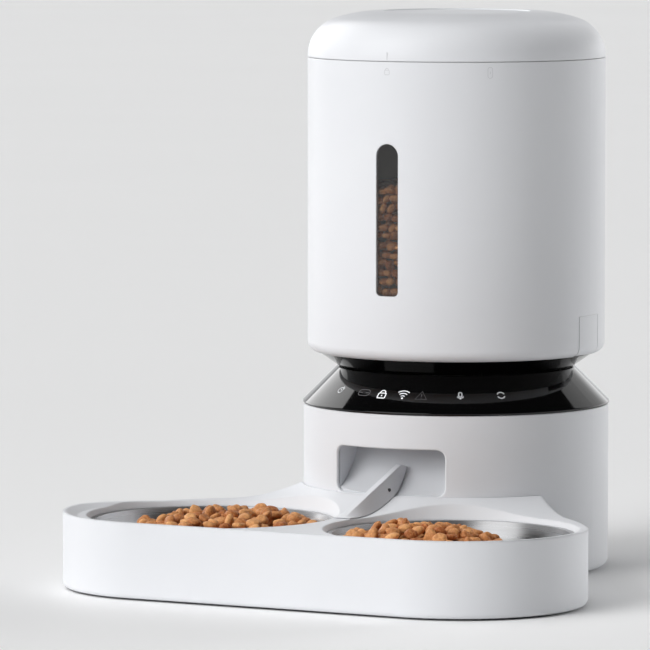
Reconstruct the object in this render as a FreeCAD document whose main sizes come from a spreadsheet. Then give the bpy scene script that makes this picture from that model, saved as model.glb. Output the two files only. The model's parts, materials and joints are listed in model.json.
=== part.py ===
# Automatic pet feeder: a round food tank on a round powered base, with a two-bowl tray in front.
#
# Every sub-part is modelled about the tower's axis (x = y = 0, z = 0 on the floor, the front is -Y)
# and then placed axis_setback behind the origin, which is the middle of the whole object's footprint.
# All lengths are millimetres and all angles are degrees.

import FreeCAD, Part
import Sketcher
import math
import os
from types import SimpleNamespace
from FreeCAD import Placement, Rotation, Vector

doc = FreeCAD.newDocument("pet_feeder")

# ---------------------------------------------------------------- driving dimensions

DRIVING = [
    ("gap", 0.3, "clearance between curved faces that move or slip past each other"),
    ("base_radius", 97.5, "outside of the base housing"),
    ("base_wall", 2.6, "wall of the base housing and of the control ring"),
    ("base_bottom", 1.2, "underside of the base housing and of the tray"),
    ("base_fillet", 4.5, "rounding of the base housing's bottom edge"),
    ("ring_radius", 98, "widest edge of the control ring"),
    ("ring_bottom", 105.3, "seam between base housing and control ring"),
    ("neck_radius", 75.6, "waist between base and tank"),
    ("neck_height", 128.6, "seam between base and tank"),
    ("tank_radius", 95, "outside of the tank and of the lid"),
    ("tank_wall", 2.6, "wall of the tank"),
    ("tank_bottom", 138.2, "underside of the tank's shell"),
    ("tank_fillet", 6.5, "rounding of the tank's bottom edge"),
    ("lid_seam", 326.3, "seam between tank and lid"),
    ("lid_corner", 25, "rounding of the lid's shoulder"),
    ("lid_shoulder", 72, "angle that the shoulder turns through"),
    ("lid_crown", 94, "radius of the gentle crown inside the shoulder"),
    ("lid_recess", 47, "radius of the shallow recess in the lid's top"),
    ("lid_recess_depth", 0.8, "depth of that recess"),
    ("lid_wall", 2.4, "wall of the lid"),
    ("window_half", 7.65, "half width of the food window"),
    ("window_bottom", 179.1, "bottom of the food window"),
    ("window_top", 274.6, "top of the food window's round end"),
    ("window_corner", 3, "rounding of the window's bottom corners"),
    ("tab_half_angle", 8.2, "half the angle that a release tab covers"),
    ("tab_slit", 0.42, "angle of the slit beside a release tab"),
    ("tab_top", 164, "root of a release tab"),
    ("neck_bore", 62, "inside of the rotor's chamber"),
    ("blade_height", 17, "height of the rotor's blades"),
    ("blade_count", 6, "number of the rotor's blades"),
    ("hub_radius", 12, "rotor hub"),
    ("chute_half", 37.5, "half width inside the chute"),
    ("chute_wall", 2, "wall of the chute"),
    ("opening_half", 38, "half width of the chute's opening"),
    ("opening_bottom", 54.2, "bottom of the chute's opening"),
    ("opening_top", 83.6, "top of the chute's opening"),
    ("opening_corner", 5.5, "corner rounding of the chute's opening"),
    ("opening_lip", 0.9, "rounding of the opening's outer edge"),
    ("slide_radius", 43.4, "hollow curve of the chute's slide"),
    ("slide_axis_y", -104, "centre of that curve"),
    ("slide_axis_z", 96.7, "centre of that curve"),
    ("gear_module", 1, "module of every gear"),
    ("big_teeth", 48, "teeth of the drive gear"),
    ("idler_teeth", 40, "teeth of the idler's large wheel"),
    ("small_teeth", 12, "teeth of the idler's small wheel and of the pinion"),
    ("gear_play", 0.12, "extra centre distance of a meshed pair"),
    ("gear_bore", 1.55, "bore of the idler and of the pinion"),
    ("drive_shaft_radius", 3, "drive shaft"),
    ("cell_radius", 16.6, "battery cell"),
    ("cell_length", 61, "battery cell"),
    ("cell_pitch", 35, "distance between two cells"),
    ("tray_end_offset", 95, "sideways place of the round tray ends"),
    ("tray_end_front", 180, "how far the ends' centres lie in front of the tower's axis"),
    ("tray_end_radius", 78, "radius of the round tray ends"),
    ("tray_end_turn", 20, "angle behind the widest point where the flank takes over"),
    ("tray_flank_radius", 165, "slow curve of the tray's flank"),
    ("tray_height", 48, "front lip of the tray"),
    ("tray_deck", 45, "tray surface around the bowls"),
    ("tray_back", 53.8, "tray surface where it meets the tower"),
    ("tray_ramp", 124, "hollow curve of the ramp between tower and tray surface"),
    ("tray_wall", 3, "wall of the tray"),
    ("tray_rim", 9, "width of the tray's raised rim"),
    ("tray_rim_flare", 66, "slope of the rim's inner side, from the vertical"),
    ("tray_foot_round", 2.5, "rounding of the tray's bottom edge"),
    ("bowl_offset", 83.6, "sideways place of a bowl"),
    ("bowl_front", 169, "how far a bowl's centre lies in front of the tower's axis"),
    ("bowl_radius", 76.3, "rim of a bowl"),
    ("bowl_rim_top", 41.8, "top of a bowl's rim"),
    ("bowl_gauge", 0.8, "thickness of a bowl's sheet"),
    ("bowl_floor", 11, "inside of a bowl's floor"),
    ("bowl_floor_radius", 48, "flat floor of a bowl"),
    ("bowl_side_radius", 42, "curve of a bowl's side"),
    ("bowl_mouth_flare", 30, "slope of the deck that leads into a bowl, from the vertical"),
    ("splitter_half", 1.9, "half the thickness of the splitter's crest"),
    ("splitter_slope", 0.345, "rise of the splitter's crest"),
    ("splitter_front", 154, "how far the splitter's front lies from the tower's axis"),
    ("splitter_tip", 72, "how far its tip lies from the tower's axis"),
    ("splitter_tip_top", 70.5, "top of the tip"),
    ("splitter_pin_half", 5.6, "half the length of the splitter's pin"),
    ("splitter_lift", 0.35, "gap between splitter and tray surface"),
    ("foot_radius", 8, "rubber foot"),
]


class Size:
    """A size with both its number and the sheet expression that gives it."""

    def __init__(self, value, text):
        self.value = float(value)
        self.text = text

    def join(self, other, sign, value, turned=False):
        first, second = (size(other), self) if turned else (self, size(other))
        return Size(value, "(" + first.text + " " + sign + " " + second.text + ")")

    def __add__(self, other):
        return self.join(other, "+", self.value + size(other).value)

    def __sub__(self, other):
        return self.join(other, "-", self.value - size(other).value)

    def __mul__(self, other):
        return self.join(other, "*", self.value * size(other).value)

    def __truediv__(self, other):
        return self.join(other, "/", self.value / size(other).value)

    def __radd__(self, other):
        return self.join(other, "+", size(other).value + self.value, turned=True)

    def __rsub__(self, other):
        return self.join(other, "-", size(other).value - self.value, turned=True)

    def __rmul__(self, other):
        return self.join(other, "*", size(other).value * self.value, turned=True)

    def __neg__(self):
        return Size(-self.value, "(0 - " + self.text + ")")


def size(number):
    """The number as a Size, unless it is one already."""
    if isinstance(number, Size):
        return number
    return Size(number, "(" + str(float(number)) + ")")


def cosine(angle):
    angle = size(angle)
    return Size(math.cos(math.radians(angle.value)), "cos(" + angle.text + " * 1 deg)")


def sine(angle):
    angle = size(angle)
    return Size(math.sin(math.radians(angle.value)), "sin(" + angle.text + " * 1 deg)")


def root(square):
    return Size(math.sqrt(square.value), "sqrt(" + square.text + ")")


def make_sheet():
    """Write the driving dimensions into the sheet and return them as Sizes by name."""
    sheet = doc.addObject("Spreadsheet::Sheet", "Sizes")
    names = {}
    for row, (alias, number, note) in enumerate(DRIVING, start=1):
        sheet.set("A" + str(row), note)
        sheet.set("B" + str(row), str(number))
        sheet.setAlias("B" + str(row), alias)
        names[alias] = Size(number, "Sizes." + alias)
    doc.recompute()
    return SimpleNamespace(**names)


D = make_sheet()
TRAY_FRONT = D.tray_end_front + D.tray_end_radius
AXIS_SETBACK = (TRAY_FRONT - D.ring_radius) / 2
SUB_PARTS = []

# ---------------------------------------------------------------- sketch and feature helpers


def bind(thing, path, length):
    """Tie one property of an object to the sheet."""
    thing.setExpression(path, size(length).text)


def sub_part(thing, label, set_back=True):
    """Name a finished piece and move it from the tower's axis to its place in the object."""
    thing.Label = label
    if set_back:
        bind(thing, "Placement.Base.y", AXIS_SETBACK)
    SUB_PARTS.append(thing)
    return thing


def new_body(label):
    body = doc.addObject("PartDesign::Body", label)
    return sub_part(body, label)


def sketch_on(body, role, lift=0):
    """A sketch on one of the body's own origin planes, lifted along the plane's normal."""
    plane = next(item for item in body.Origin.OriginFeatures if item.Role == role)
    sketch = body.newObject("Sketcher::SketchObject", body.Label + "_sketch")
    sketch.AttachmentSupport = [(plane, "")]
    sketch.MapMode = "FlatFace"
    bind(sketch, "AttachmentOffset.Base.z", lift)
    return sketch


def hold(sketch, geometry, point, axis, distance):
    """Fix one coordinate of a sketch point, measured from the sketch's origin."""
    if abs(distance.value) < 1e-9:
        sketch.addConstraint(Sketcher.Constraint("PointOnObject", geometry, point, -2 if axis == "X" else -1))
        return
    index = sketch.addConstraint(
        Sketcher.Constraint("Distance" + axis, -1, 1, geometry, point, distance.value))
    bind(sketch, "Constraints[" + str(index) + "]", distance)


def outline(sketch, corners):
    """Draw a closed outline through corners (x, y) or (x, y, radius).

    A radius makes the edge that leaves the corner an arc: positive turns left, negative turns right.
    """
    corners = [tuple(size(item) for item in corner) for corner in corners]
    ends = []
    for corner, after in zip(corners, corners[1:] + corners[:1]):
        start = Vector(corner[0].value, corner[1].value, 0)
        stop = Vector(after[0].value, after[1].value, 0)
        if len(corner) == 2:
            ends.append((sketch.addGeometry(Part.LineSegment(start, stop)), 1, 2))
            continue
        radius = abs(corner[2].value)
        left = corner[2].value > 0
        chord = stop - start
        height = radius - math.sqrt(radius ** 2 - chord.Length ** 2 / 4)
        side = Vector(chord.y, -chord.x, 0).normalize() * (height if left else -height)
        middle = (start + stop) / 2 + side
        first, last = (start, stop) if left else (stop, start)
        index = sketch.addGeometry(Part.Arc(first, middle, last))
        ends.append((index, 1, 2) if left else (index, 2, 1))
        fixed = sketch.addConstraint(Sketcher.Constraint("Radius", index, radius))
        bind(sketch, "Constraints[" + str(fixed) + "]", corner[2] if left else -corner[2])
    for edge, after in zip(ends, ends[1:] + ends[:1]):
        sketch.addConstraint(Sketcher.Constraint("Coincident", edge[0], edge[2], after[0], after[1]))
    for corner, edge in zip(corners, ends):
        hold(sketch, edge[0], edge[1], "X", corner[0])
        hold(sketch, edge[0], edge[1], "Y", corner[1])
    return sketch


def circle(sketch, x, y, radius):
    x, y, radius = size(x), size(y), size(radius)
    index = sketch.addGeometry(Part.Circle(Vector(x.value, y.value, 0), Vector(0, 0, 1), radius.value))
    fixed = sketch.addConstraint(Sketcher.Constraint("Radius", index, radius.value))
    bind(sketch, "Constraints[" + str(fixed) + "]", radius)
    hold(sketch, index, 3, "X", x)
    hold(sketch, index, 3, "Y", y)
    return sketch


def box_corners(x0, x1, y0, y1, radius=None):
    """Corners of a rectangle, rounded if a radius is given."""
    if radius is None:
        return [(x0, y0), (x1, y0), (x1, y1), (x0, y1)]
    return [(x0 + radius, y0), (x1 - radius, y0, radius), (x1, y0 + radius), (x1, y1 - radius, radius),
            (x1 - radius, y1), (x0 + radius, y1, radius), (x0, y1 - radius), (x0, y0 + radius, radius)]


def volume_of(body):
    doc.recompute()
    return body.Shape.Volume


def feature(body, kind, sketch, extent, backward, symmetric):
    made = body.newObject("PartDesign::" + kind, body.Label + "_" + kind.lower())
    made.Profile = sketch
    made.Reversed = backward
    if symmetric and kind in ("Pad", "Pocket"):
        made.SideType = "Symmetric"
    elif symmetric:
        made.Midplane = True
    if kind in ("Revolution", "Groove"):
        made.ReferenceAxis = (sketch, ["V_Axis"])
        bind(made, "Angle", extent)
    else:
        bind(made, "Length", extent)
    sketch.Visibility = False
    return made


def pad(body, sketch, length, backward=False, symmetric=False):
    return feature(body, "Pad", sketch, length, backward, symmetric)


def revolve(body, sketch, angle=360, symmetric=False):
    return feature(body, "Revolution", sketch, angle, False, symmetric)


def cut_away(body, kind, sketch, extent, backward, symmetric, flare=None):
    before = volume_of(body)
    made = feature(body, kind, sketch, extent, backward, symmetric)
    if flare is not None:
        bind(made, "TaperAngle", flare)
    if volume_of(body) >= before:
        raise RuntimeError(made.Label + " removes nothing")
    return made


def pocket(body, sketch, depth, backward=False, symmetric=False):
    return cut_away(body, "Pocket", sketch, depth, backward, symmetric)


def flared(body, sketch, depth, angle):
    """Cut upwards from the sketch, wider with height by an angle from the vertical."""
    return cut_away(body, "Pocket", sketch, depth, True, False, angle)


def groove(body, sketch, angle=360, symmetric=False):
    return cut_away(body, "Groove", sketch, angle, False, symmetric)


def origin_item(body, role):
    return next(item for item in body.Origin.OriginFeatures if item.Role == role)


def polar(body, original, count):
    """Repeat a feature evenly about the body's own Z axis."""
    doc.recompute()
    pattern = body.newObject("PartDesign::PolarPattern", body.Label + "_polar")
    pattern.Originals = [original]
    pattern.Axis = (origin_item(body, "Z_Axis"), [""])
    pattern.Angle = 360
    bind(pattern, "Occurrences", count)
    body.Tip = pattern
    return pattern


def round_edges(body, radius, wanted, name="fillet"):
    """Round the edges of the body's last feature that the test picks."""
    doc.recompute()
    base = body.Tip
    names = ["Edge" + str(number) for number, edge in enumerate(base.Shape.Edges, start=1) if wanted(edge)]
    if not names:
        raise RuntimeError(body.Label + " has no edge to round")
    made = body.newObject("PartDesign::Fillet", body.Label + "_" + name)
    made.Base = (base, names)
    bind(made, "Radius", radius)
    return made


def turned(label, corners):
    """A body turned about the tower's axis from an outline of (radius, height) corners."""
    body = new_body(label)
    revolve(body, outline(sketch_on(body, "XZ_Plane"), corners))
    return body


# ---------------------------------------------------------------- primitive helpers


def place(thing, x, y, z, rotation=None):
    if rotation is not None:
        thing.Placement = Placement(Vector(0, 0, 0), rotation)
    bind(thing, "Placement.Base.x", x)
    bind(thing, "Placement.Base.y", y)
    bind(thing, "Placement.Base.z", z)
    return thing


def box(x0, x1, y0, y1, z0, z1):
    """A block between two corners."""
    x0, x1, y0, y1, z0, z1 = (size(item) for item in (x0, x1, y0, y1, z0, z1))
    block = doc.addObject("Part::Box", "block")
    bind(block, "Length", x1 - x0)
    bind(block, "Width", y1 - y0)
    bind(block, "Height", z1 - z0)
    return place(block, x0, y0, z0)


def rod(radius, length, x, y, z, along=Vector(0, 0, 1)):
    """A cylinder that starts at a point and runs along a direction."""
    bar = doc.addObject("Part::Cylinder", "rod")
    bind(bar, "Radius", radius)
    bind(bar, "Height", length)
    return place(bar, x, y, z, Rotation(Vector(0, 0, 1), along))


def fuse(pieces):
    made = doc.addObject("Part::MultiFuse", "fusion")
    made.Shapes = pieces
    return made


def cut(base, tools):
    made = doc.addObject("Part::Cut", "cut")
    made.Base = base
    made.Tool = tools[0] if len(tools) == 1 else fuse(tools)
    return made


def group(label, pieces):
    """Several separate solids in one node."""
    made = doc.addObject("Part::Compound", label)
    made.Links = pieces
    return sub_part(made, label)


def ring_points(radius, angles):
    return [(radius * math.cos(math.radians(angle)), radius * math.sin(math.radians(angle)))
            for angle in angles]


# ---------------------------------------------------------------- base

FLANGE_RADIUS = D.base_radius - 10
HOUSING_INSIDE = D.base_radius - D.base_wall
PLATE_BOTTOM = D.base_bottom + 2
PLATE_TOP = PLATE_BOTTOM + D.base_wall
DECK_BOTTOM = D.neck_height - 2.2
RING_EDGE = D.ring_radius - 0.4
RING_SLOPE = RING_EDGE + D.ring_bottom + 1.7
FOOT_SPOTS = [(-68, -38), (68, -38), (68, 38), (-68, 38)]
POST_TOP = size(99)
SCREW_SPOTS = [(-52, -62), (52, -62), (46, 66), (-46, 66)]
BAY_X = size(53)
BAY_Y = (size(-30), size(35))
SPEAKER_SPOT = (0, 58)
INLET_HEIGHT = size(22)
INLET_RADIUS = size(5.4)
TONGUE_X = (size(38), size(52))
TONGUE_Z = (size(18), size(26))


def rims_the_mouth(edge):
    """True for the edges of the chute's opening that lie on the housing's outside."""
    middle = edge.CenterOfMass
    start = edge.Vertexes[0].Point
    outside = abs(math.hypot(start.x, start.y) - D.base_radius.value) < 0.01
    return outside and middle.y < 0 and D.opening_bottom.value - 1 < middle.z < D.opening_top.value + 1


def base_housing():
    body = turned("base_housing", [
        (FLANGE_RADIUS, D.base_bottom),
        (D.base_radius - D.base_fillet, D.base_bottom, D.base_fillet),
        (D.base_radius, D.base_bottom + D.base_fillet),
        (D.base_radius, D.ring_bottom - 0.3),
        (HOUSING_INSIDE, D.ring_bottom - 0.3),
        (HOUSING_INSIDE, D.base_bottom + D.base_wall),
        (FLANGE_RADIUS, D.base_bottom + D.base_wall)])
    mouth = outline(sketch_on(body, "XZ_Plane", 60), box_corners(
        -D.opening_half, D.opening_half, D.opening_bottom, D.opening_top, D.opening_corner))
    pocket(body, mouth, 50, backward=True)
    round_edges(body, D.opening_lip, rims_the_mouth)
    slots = sketch_on(body, "XZ_Plane", 60)
    for near, far in ((-TONGUE_X[1], -TONGUE_X[0]), TONGUE_X):
        outline(slots, box_corners(near - 0.5, far + 0.5, TONGUE_Z[0] - 0.5, TONGUE_Z[1] + 0.5))
    pocket(body, slots, 50, backward=True)
    socket = circle(sketch_on(body, "XZ_Plane", -60), 0, INLET_HEIGHT, INLET_RADIUS + D.gap)
    pocket(body, socket, 50)
    return body


def base_bottom_plate():
    body = new_body("base_bottom_plate")
    pad(body, circle(sketch_on(body, "XY_Plane", PLATE_BOTTOM), 0, 0, FLANGE_RADIUS - D.gap), D.base_wall)
    bay = sketch_on(body, "XY_Plane", PLATE_BOTTOM)
    outline(bay, box_corners(-BAY_X, BAY_X, BAY_Y[0], BAY_Y[1], size(4)))
    pocket(body, bay, 10, backward=True)
    grille = sketch_on(body, "XY_Plane", PLATE_BOTTOM)
    for row in (-6, 0, 6):
        for column in (-12, -6, 0, 6, 12):
            circle(grille, SPEAKER_SPOT[0] + column, SPEAKER_SPOT[1] + row, 1.4)
    pocket(body, grille, 10, backward=True)
    posts = sketch_on(body, "XY_Plane", PLATE_TOP)
    for x, y in SCREW_SPOTS:
        circle(posts, x, y, 4)
    pad(body, posts, POST_TOP - PLATE_TOP)
    holes = sketch_on(body, "XY_Plane", PLATE_BOTTOM)
    for x, y in SCREW_SPOTS:
        circle(holes, x, y, 1.6)
    pocket(body, holes, 16, backward=True)
    heads = sketch_on(body, "XY_Plane", PLATE_BOTTOM)
    for x, y in SCREW_SPOTS:
        circle(heads, x, y, 3.1)
    pocket(body, heads, 1.4, backward=True)
    return body


def base_feet():
    return group("base_feet", [
        rod(D.foot_radius, PLATE_BOTTOM, x, y, 0) for x, y in FOOT_SPOTS])


def bottom_screws():
    screws = []
    for x, y in SCREW_SPOTS:
        screws.append(fuse([rod(3, 1.2, x, y, PLATE_BOTTOM + 0.2), rod(1.5, 13, x, y, PLATE_BOTTOM + 1)]))
    return group("bottom_screws", screws)


def control_ring():
    inner = RING_SLOPE - 3.7
    return turned("control_ring", [
        (HOUSING_INSIDE - 0.3, D.ring_bottom - 5.3),
        (HOUSING_INSIDE - 0.3, D.ring_bottom),
        (RING_EDGE + 0.1, D.ring_bottom, size(1.2)),
        (RING_EDGE, D.ring_bottom + 1.7),
        (D.neck_radius + 0.6, RING_SLOPE - D.neck_radius - 0.6),
        (D.neck_radius - 1, D.neck_height - 0.1),
        (size(72.5), D.neck_height - 0.1),
        (size(72.5), DECK_BOTTOM),
        (size(70), DECK_BOTTOM),
        (size(70), DECK_BOTTOM - 1.5),
        (inner - DECK_BOTTOM + 1.5, DECK_BOTTOM - 1.5),
        (HOUSING_INSIDE - 2.6, inner - HOUSING_INSIDE + 2.6),
        (HOUSING_INSIDE - 2.6, D.ring_bottom - 5.3)])


OUTLET = (size(-35), size(35), size(-61), size(-41))


def deck_plate():
    body = new_body("deck_plate")
    pad(body, circle(sketch_on(body, "XY_Plane", DECK_BOTTOM), 0, 0, 72.2), 1.9)
    outlet = sketch_on(body, "XY_Plane", DECK_BOTTOM)
    outline(outlet, box_corners(*OUTLET, size(4)))
    circle(outlet, 0, 0, 8)
    pocket(body, outlet, 10, backward=True)
    return body


def slide_height(y, radius):
    """Height of a curve about the slide's own axis, at a distance y from the tower's axis."""
    reach = y - D.slide_axis_y
    return D.slide_axis_z - root(radius * radius - reach * reach)


def chute():
    """A duct under the deck that turns forward on a hollow slide to the base's front opening."""
    body = new_body("chute")
    front = -D.base_radius
    foot_z = slide_height(front, D.slide_radius)
    turn_y = D.slide_axis_y + D.slide_radius * cosine(29)
    turn_z = D.slide_axis_z - D.slide_radius * sine(29)
    top_y = turn_y + (DECK_BOTTOM - turn_z) * sine(29) / cosine(29)
    wall = D.chute_wall
    roof_z = D.opening_top + 8
    shell = sketch_on(body, "YZ_Plane")
    outline(shell, [
        (front, slide_height(front, D.slide_radius + wall), D.slide_radius + wall),
        (turn_y + wall * cosine(29), turn_z - wall * sine(29)),
        (top_y + wall / cosine(29), DECK_BOTTOM),
        (OUTLET[2] - 3, DECK_BOTTOM),
        (OUTLET[2] - 3, roof_z + wall),
        (front, D.opening_top + wall + 1)])
    pad(body, shell, (D.chute_half + wall) * 2, symmetric=True)
    duct = sketch_on(body, "YZ_Plane")
    outline(duct, [
        (front - 1, foot_z - 0.1),
        (front, foot_z, D.slide_radius),
        (turn_y, turn_z),
        (top_y, DECK_BOTTOM),
        (top_y, DECK_BOTTOM + 1),
        (OUTLET[2] - 1, DECK_BOTTOM + 1),
        (OUTLET[2] - 1, roof_z),
        (front, D.opening_top + 0.5),
        (front - 1, D.opening_top + 0.5)])
    pocket(body, duct, D.chute_half * 2, symmetric=True)
    trim = sketch_on(body, "XY_Plane", 40)
    circle(trim, 0, 0, HOUSING_INSIDE - 0.3)
    circle(trim, 0, 0, D.base_radius + 30)
    pocket(body, trim, 100, backward=True)
    collar = sketch_on(body, "XY_Plane", DECK_BOTTOM - 2)
    circle(collar, 0, 0, 69.7)
    circle(collar, 0, 0, D.base_radius + 30)
    pocket(body, collar, 10, backward=True)
    return body


# ---------------------------------------------------------------- power and electronics


def battery_box():
    floor = PLATE_TOP
    top = floor + D.cell_radius * 2 + 3
    outside = box(-BAY_X - 2, BAY_X + 2, BAY_Y[0] - 2, BAY_Y[1] + 2, floor, top + 2)
    inside = box(-BAY_X, BAY_X, BAY_Y[0], BAY_Y[1], floor - 1, top)
    return sub_part(cut(outside, [inside]), "battery_box")


def cell_rows():
    middle = (BAY_Y[0] + BAY_Y[1]) / 2
    height = PLATE_TOP + D.cell_radius + 1.5
    return [(column * D.cell_pitch, middle, height) for column in (-1, 0, 1)]


def battery_cells():
    cells = []
    for x, middle, z in cell_rows():
        start = middle - D.cell_length / 2
        barrel = rod(D.cell_radius, D.cell_length - 1.5, x, start, z, Vector(0, 1, 0))
        button = rod(4.5, 1.6, x, start + D.cell_length - 1.6, z, Vector(0, 1, 0))
        cells.append(fuse([barrel, button]))
    return group("battery_cells", cells)


def battery_contacts():
    plates = []
    for x, middle, z in cell_rows():
        for face in (BAY_Y[0], BAY_Y[1] - 0.5):
            plates.append(box(x - 7, x + 7, face, face + 0.5, z - 7, z + 7))
    return group("battery_contacts", plates)


def battery_door():
    door = new_body("battery_door")
    top = PLATE_BOTTOM - 0.2
    panel = sketch_on(door, "XY_Plane", 0.7)
    outline(panel, box_corners(-BAY_X - 4, BAY_X + 4, BAY_Y[0] - 4, BAY_Y[1] + 4, size(6)))
    pad(door, panel, top - 0.7)
    grips = sketch_on(door, "XY_Plane", 0.7)
    for row in range(4):
        near = BAY_Y[1] - 12 + 3 * row
        outline(grips, box_corners(size(-12), size(12), near, near + 1.2))
    pocket(door, grips, 0.6, backward=True)
    return door


def power_inlet():
    """A round socket in the rear wall, with its spring contact cage behind it."""
    rear = D.base_radius
    face = rod(INLET_RADIUS, 12, 0, rear - 12.4, INLET_HEIGHT, Vector(0, 1, 0))
    cage = box(-5.5, 5.5, rear - 24, rear - 12.4, INLET_HEIGHT - 6, INLET_HEIGHT + 6)
    bore = rod(2.8, 16, 0, rear - 15, INLET_HEIGHT, Vector(0, 1, 0))
    return sub_part(cut(fuse([face, cage]), [bore]), "power_inlet")


def power_inlet_pin():
    pin = rod(1, 13, 0, AXIS_SETBACK + D.base_radius - 15, INLET_HEIGHT, Vector(0, 1, 0))
    return sub_part(pin, "power_inlet_pin", set_back=False)


BOARD_X = size(-74)


def main_board():
    body = new_body("main_board")
    board = sketch_on(body, "YZ_Plane", BOARD_X)
    outline(board, box_corners(size(-24), size(34), size(52), size(96)))
    for y in (-19, 29):
        for z in (57, 91):
            circle(board, y, z, 1.6)
    pad(body, board, 1.6)
    return body


def board_components():
    face = BOARD_X + 1.6
    radio = box(face, face + 2.4, 6, 22, 76, 94)
    processor = box(face, face + 1.4, -10, 0, 72, 82)
    driver = box(face, face + 1.6, -12, -6, 58, 63)
    plug = box(face, face + 6, 8, 24, 56, 62)
    smoothing = rod(4, 9, face, 1, 62, Vector(1, 0, 0))
    return group("board_components", [radio, processor, driver, plug, smoothing])


def touch_board():
    """An arc of circuit board that lies under the sloping face of the control ring."""
    body = new_body("touch_board")
    section = outline(sketch_on(body, "YZ_Plane"), box_corners(size(-90), size(-76), size(104), size(105.6)))
    revolve(body, section, 110, symmetric=True)
    return body


def speaker():
    x, y = SPEAKER_SPOT
    basket = rod(17, 5, x, y, PLATE_TOP)
    magnet = rod(9, 6, x, y, PLATE_TOP + 5)
    mouth = rod(15, 2, x, y, PLATE_TOP - 1)
    return sub_part(cut(fuse([basket, magnet]), [mouth]), "speaker")


def speaker_cone():
    x, y = SPEAKER_SPOT
    cone = doc.addObject("Part::Cone", "cone")
    for path, length in (("Radius1", 14.6), ("Radius2", 5), ("Height", 0.8)):
        bind(cone, path, length)
    place(cone, x, AXIS_SETBACK + y, PLATE_TOP + 0.1)
    return sub_part(cone, "speaker_cone", set_back=False)


def microphone():
    """A small capsule on a post behind the control ring's front right."""
    return sub_part(fuse([rod(3, 3, 38, -72, 105.6), rod(1.2, 1, 38, -72, 108.6)]), "microphone")


def food_sensors():
    """A light beam across the chute: one lamp and one eye, outside its two side walls."""
    eyes = []
    for side in (-1, 1):
        x0, x1 = sorted((side * (D.chute_half + D.chute_wall).value, side * 47.0))
        eyes.append(box(x0, x1, -68, -58, 88, 98))
    return group("food_sensors", eyes)


# ---------------------------------------------------------------- gearbox

GEAR_LOW = size(96)
GEAR_THICK = size(6)
WHEEL_LOW = size(104)
WHEEL_THICK = size(4)
IDLER_Y = D.gear_module * (D.big_teeth + D.small_teeth) / 2 + D.gear_play
PINION_Y = IDLER_Y + D.gear_module * (D.idler_teeth + D.small_teeth) / 2 + D.gear_play
BOX_LOW = size(90)
BOX_HIGH = size(111)
BOX_PLATE = size(2.4)


def involute_flank(base_radius, tip_radius, steps=5):
    """Points (radius, angle in radians) along an involute from its base circle to the tip."""
    limit = math.sqrt((tip_radius / base_radius) ** 2 - 1)
    rolls = [limit * step / steps for step in range(steps + 1)]
    return [(base_radius * math.hypot(1, roll), roll - math.atan(roll)) for roll in rolls]


def gear_face(teeth, module, pressure_angle=20.0):
    """The flat face of a spur gear with a tooth centred on +X."""
    pitch = teeth * module / 2
    base = pitch * math.cos(math.radians(pressure_angle))
    tip = pitch + module
    foot = pitch - 1.25 * module
    at_pitch = math.tan(math.radians(pressure_angle)) - math.radians(pressure_angle)
    half_tooth = math.pi / (2 * teeth)
    flank = involute_flank(base, tip)

    def spot(radius, angle):
        return Vector(radius * math.cos(angle), radius * math.sin(angle), 0)

    edges = []
    last = None
    for number in range(teeth):
        middle = 2 * math.pi * number / teeth
        rise = [spot(radius, middle - half_tooth - at_pitch + angle) for radius, angle in flank]
        fall = [spot(radius, middle + half_tooth + at_pitch - angle) for radius, angle in reversed(flank)]
        low_rise = spot(foot, middle - half_tooth - at_pitch)
        low_fall = spot(foot, middle + half_tooth + at_pitch)
        if last is not None:
            edges.append(Part.Arc(last, spot(foot, middle - math.pi / teeth), low_rise).toShape())
        else:
            first = low_rise
        edges.append(Part.LineSegment(low_rise, rise[0]).toShape())
        edges.append(spline(rise))
        edges.append(Part.Arc(rise[-1], spot(tip, middle), fall[0]).toShape())
        edges.append(spline(fall))
        edges.append(Part.LineSegment(fall[-1], low_fall).toShape())
        last = low_fall
    edges.append(Part.Arc(last, spot(foot, -math.pi / teeth), first).toShape())
    return Part.Face(Part.Wire(edges))


def spline(points):
    curve = Part.BSplineCurve()
    curve.interpolate(points)
    return curve.toShape()


def gear(teeth, thickness, y, z, turn):
    """A spur gear pulled up from its face, turned so that its teeth meet its neighbour's."""
    face = doc.addObject("Part::Feature", "gear_face")
    face.Shape = gear_face(int(teeth.value), D.gear_module.value)
    wheel = doc.addObject("Part::Extrusion", "gear")
    wheel.Base = face
    wheel.DirMode = "Normal"
    bind(wheel, "LengthFwd", thickness)
    wheel.Solid = True
    return place(wheel, 0, y, z, Rotation(Vector(0, 0, 1), turn))


HALF_TOOTH_TURN = 15


def drive_gear():
    wheel = gear(D.big_teeth, GEAR_THICK, 0, GEAR_LOW, 0)
    boss = rod(8, 3, 0, 0, GEAR_LOW - 3)
    bore = rod(D.drive_shaft_radius, 20, 0, 0, GEAR_LOW - 5)
    windows = [rod(4.5, 20, x, y, GEAR_LOW - 5) for x, y in ring_points(15, [30, 90, 150, 210, 270, 330])]
    return sub_part(cut(fuse([wheel, boss]), [bore] + windows), "drive_gear")


def drive_shaft():
    shaft = rod(D.drive_shaft_radius, 40, 0, AXIS_SETBACK, BOX_LOW - 1)
    return sub_part(shaft, "drive_shaft", set_back=False)


def drive_coupler():
    """The six-sided head that stands up through the deck into the rotor's hub."""
    head = doc.addObject("Part::Prism", "head")
    head.Polygon = 6
    bind(head, "Circumradius", 5.6)
    bind(head, "Height", 11)
    place(head, 0, 0, DECK_BOTTOM - 1)
    bore = rod(D.drive_shaft_radius, 5, 0, 0, DECK_BOTTOM - 3)
    return sub_part(cut(head, [bore]), "drive_coupler")


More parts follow.
